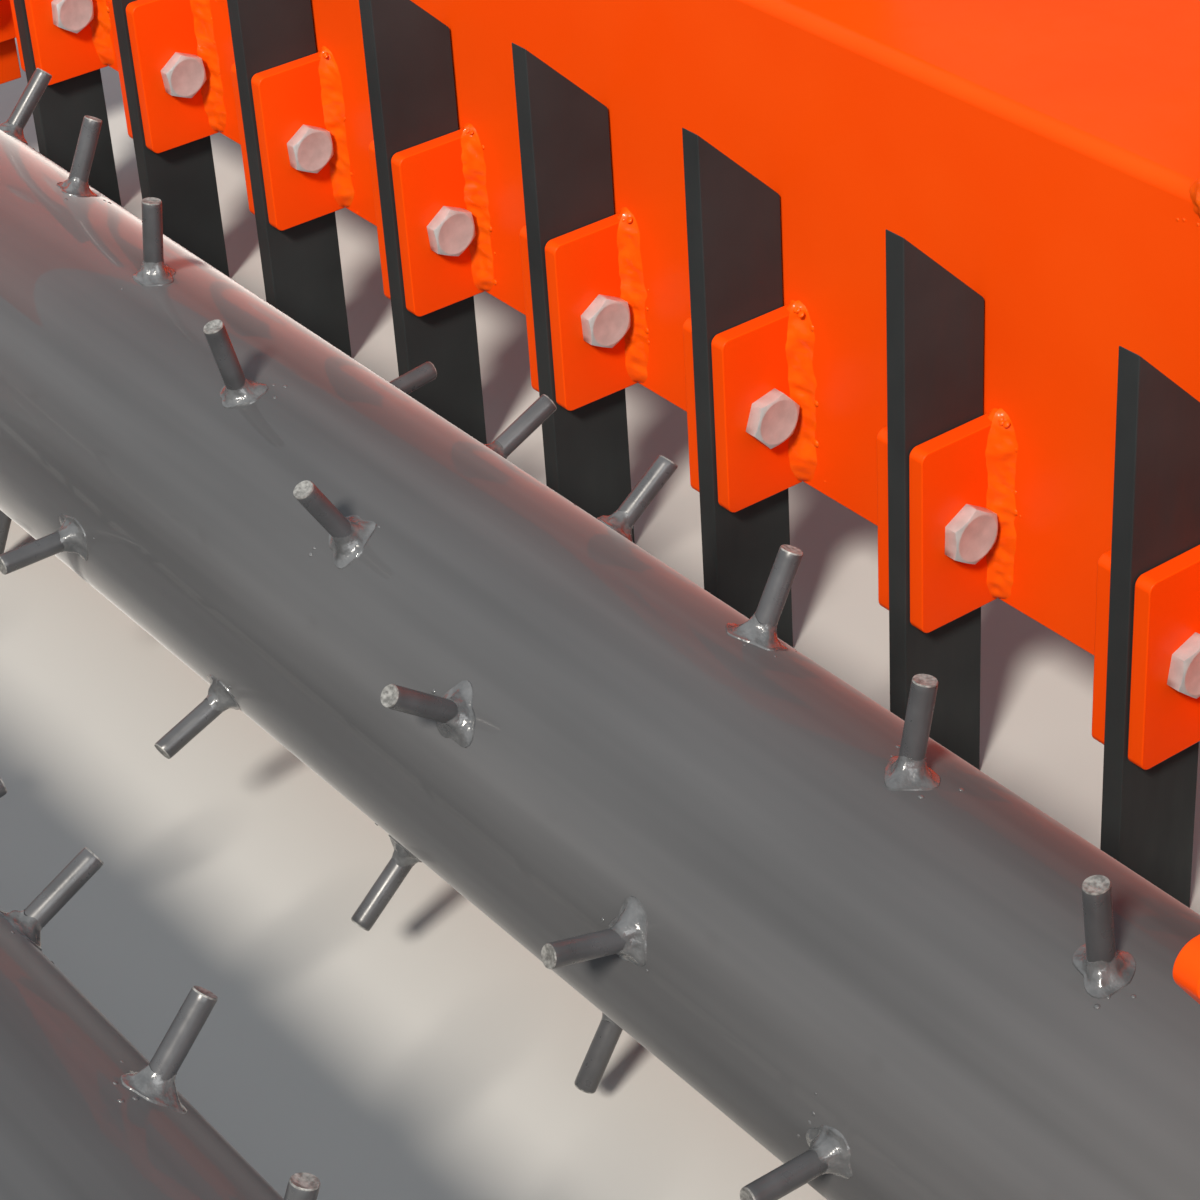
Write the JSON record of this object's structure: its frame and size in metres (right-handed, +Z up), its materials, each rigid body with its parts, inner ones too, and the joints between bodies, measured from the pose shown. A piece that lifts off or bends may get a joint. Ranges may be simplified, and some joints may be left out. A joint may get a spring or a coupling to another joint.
{
  "type": "three-point soil pulverizer",
  "caption": "Tractor-mounted soil pulverizer: folded deck with bolted digging shanks, a hitch mast, and two free-turning rollers with welded pins in helical rows.",
  "frame": {"origin": "on the floor under the middle of the bounding box", "axes": "+X across the machine to its right end, +Y forward to the tractor, +Z up"},
  "size_m": [1.604, 1.1151, 0.9225],
  "materials": {
    "orange_paint": "bright orange gloss powder coat",
    "roller_grey": "dark grey gloss enamel",
    "shank_black": "black satin paint on flat bar",
    "bearing_cast": "painted casting",
    "plated_steel": "zinc plated bolt heads"
  },
  "bodies": {
    "frame": {"tooth_deck": "orange_paint", "shank_01": "shank_black", "shank_02": "shank_black", "shank_03": "shank_black", "shank_04": "shank_black", "shank_05": "shank_black", "shank_06": "shank_black", "shank_07": "shank_black", "shank_08": "shank_black", "shank_09": "shank_black", "shank_10": "shank_black", "tab_pair_01": "orange_paint", "tab_pair_02": "orange_paint", "tab_pair_03": "orange_paint", "tab_pair_04": "orange_paint", "tab_pair_05": "orange_paint", "tab_pair_06": "orange_paint", "tab_pair_07": "orange_paint", "tab_pair_08": "orange_paint", "tab_pair_09": "orange_paint", "tab_pair_10": "orange_paint", "end_plate_left": "orange_paint", "end_plate_right": "orange_paint", "roller_arm_left": "orange_paint", "roller_arm_right": "orange_paint", "front_bearing_left": "bearing_cast", "front_bearing_right": "bearing_cast", "rear_bearing_left": "bearing_cast", "rear_bearing_right": "bearing_cast", "lower_lug_outer_left": "orange_paint", "lower_lug_outer_right": "orange_paint", "lower_lug_inner_left": "orange_paint", "lower_lug_inner_right": "orange_paint", "top_lug_left": "orange_paint", "top_lug_right": "orange_paint", "mast_bar_left": "orange_paint", "mast_bar_right": "orange_paint", "mast_brace_left": "orange_paint", "mast_brace_right": "orange_paint"},
    "front_roller": {"front_roller_drum": "roller_grey", "front_roller_ends": "roller_grey"},
    "rear_roller": {"rear_roller_drum": "roller_grey", "rear_roller_ends": "roller_grey"}
  },
  "joints": [
    {"name": "front_roller_spin", "type": "hinge", "parent": "frame", "child": "front_roller", "pos_m": [0, -0.05944, 0.13311], "axis": [1, 0, 0], "continuous": true},
    {"name": "rear_roller_spin", "type": "hinge", "parent": "frame", "child": "rear_roller", "pos_m": [0, -0.42445, 0.13311], "axis": [1, 0, 0], "continuous": true}
  ]
}
